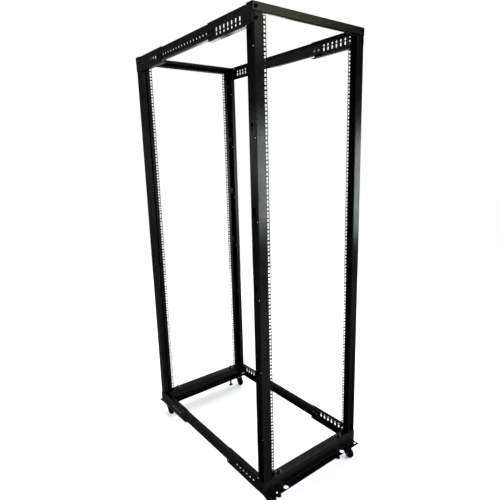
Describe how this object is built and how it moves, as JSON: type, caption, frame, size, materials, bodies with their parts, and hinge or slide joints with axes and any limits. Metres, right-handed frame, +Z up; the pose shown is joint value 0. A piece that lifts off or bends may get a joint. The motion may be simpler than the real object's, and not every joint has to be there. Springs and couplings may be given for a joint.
{
  "type": "four post open frame rack",
  "caption": "Tall open equipment rack: posts with square cage-nut holes, slotted telescopic side rails, flanged base beams, swivel casters and levelling feet.",
  "frame": {"origin": "centre of the rack at floor level, under the casters", "axes": "+Z up, -Y to the front, +X to the right seen from the front"},
  "size_m": [0.6, 1.0522, 2.052],
  "materials": {
    "post_coat": "satin black powder coat",
    "beam_coat": "satin black powder coat",
    "rail_coat": "satin black powder coat",
    "wheel_plastic": "matt black",
    "caster_steel": "black zinc, satin",
    "leveling_steel": "black zinc, satin"
  },
  "bodies": {
    "rack": {"post_front_left": "post_coat", "post_front_right": "post_coat", "post_rear_left": "post_coat", "post_rear_right": "post_coat", "base_beam_front": "beam_coat", "base_beam_rear": "beam_coat", "top_beam_front": "beam_coat", "top_beam_rear": "beam_coat", "corner_plate_front_left": "rail_coat", "corner_plate_front_right": "rail_coat", "corner_plate_rear_left": "rail_coat", "corner_plate_rear_right": "rail_coat", "base_rail_left_front_bracket": "rail_coat", "base_rail_left_middle": "rail_coat", "base_rail_left_rear_bracket": "rail_coat", "base_rail_right_front_bracket": "rail_coat", "base_rail_right_middle": "rail_coat", "base_rail_right_rear_bracket": "rail_coat", "top_rail_left_front_bracket": "rail_coat", "top_rail_left_middle": "rail_coat", "top_rail_left_rear_bracket": "rail_coat", "top_rail_right_front_bracket": "rail_coat", "top_rail_right_middle": "rail_coat", "top_rail_right_rear_bracket": "rail_coat", "caster_plate_front_left": "caster_steel", "leveling_nut_front_left": "leveling_steel", "caster_plate_front_right": "caster_steel", "leveling_nut_front_right": "leveling_steel", "caster_plate_rear_left": "caster_steel", "leveling_nut_rear_left": "leveling_steel", "caster_plate_rear_right": "caster_steel", "leveling_nut_rear_right": "leveling_steel"},
    "fork_front_left": {"caster_fork_front_left": "caster_steel"},
    "wheel_front_left": {"caster_wheel_front_left": "wheel_plastic"},
    "foot_front_left": {"leveling_foot_front_left": "leveling_steel"},
    "fork_front_right": {"caster_fork_front_right": "caster_steel"},
    "wheel_front_right": {"caster_wheel_front_right": "wheel_plastic"},
    "foot_front_right": {"leveling_foot_front_right": "leveling_steel"},
    "fork_rear_left": {"caster_fork_rear_left": "caster_steel"},
    "wheel_rear_left": {"caster_wheel_rear_left": "wheel_plastic"},
    "foot_rear_left": {"leveling_foot_rear_left": "leveling_steel"},
    "fork_rear_right": {"caster_fork_rear_right": "caster_steel"},
    "wheel_rear_right": {"caster_wheel_rear_right": "wheel_plastic"},
    "foot_rear_right": {"leveling_foot_rear_right": "leveling_steel"}
  },
  "joints": [
    {"name": "caster_swivel_front_left", "type": "hinge", "parent": "rack", "child": "fork_front_left", "pos_m": [-0.264, -0.4756, 0.073], "axis": [0, 0, 1], "continuous": true},
    {"name": "caster_roll_front_left", "type": "hinge", "parent": "fork_front_left", "child": "wheel_front_left", "pos_m": [-0.244, -0.4756, 0.025], "axis": [0, 1, 0], "continuous": true},
    {"name": "leveling_screw_front_left", "type": "slide", "parent": "rack", "child": "foot_front_left", "axis": [0, 0, 1], "range_m": [-0.02, 0.01]},
    {"name": "caster_swivel_front_right", "type": "hinge", "parent": "rack", "child": "fork_front_right", "pos_m": [0.264, -0.4756, 0.073], "axis": [0, 0, 1], "continuous": true},
    {"name": "caster_roll_front_right", "type": "hinge", "parent": "fork_front_right", "child": "wheel_front_right", "pos_m": [0.264, -0.4956, 0.025], "axis": [1, 0, 0], "continuous": true},
    {"name": "leveling_screw_front_right", "type": "slide", "parent": "rack", "child": "foot_front_right", "axis": [0, 0, 1], "range_m": [-0.02, 0.01]},
    {"name": "caster_swivel_rear_left", "type": "hinge", "parent": "rack", "child": "fork_rear_left", "pos_m": [-0.264, 0.4756, 0.073], "axis": [0, 0, 1], "continuous": true},
    {"name": "caster_roll_rear_left", "type": "hinge", "parent": "fork_rear_left", "child": "wheel_rear_left", "pos_m": [-0.264, 0.4556, 0.025], "axis": [1, 0, 0], "continuous": true},
    {"name": "leveling_screw_rear_left", "type": "slide", "parent": "rack", "child": "foot_rear_left", "axis": [0, 0, 1], "range_m": [-0.02, 0.01]},
    {"name": "caster_swivel_rear_right", "type": "hinge", "parent": "rack", "child": "fork_rear_right", "pos_m": [0.264, 0.4756, 0.073], "axis": [0, 0, 1], "continuous": true},
    {"name": "caster_roll_rear_right", "type": "hinge", "parent": "fork_rear_right", "child": "wheel_rear_right", "pos_m": [0.264, 0.4556, 0.025], "axis": [1, 0, 0], "continuous": true},
    {"name": "leveling_screw_rear_right", "type": "slide", "parent": "rack", "child": "foot_rear_right", "axis": [0, 0, 1], "range_m": [-0.02, 0.01]}
  ]
}
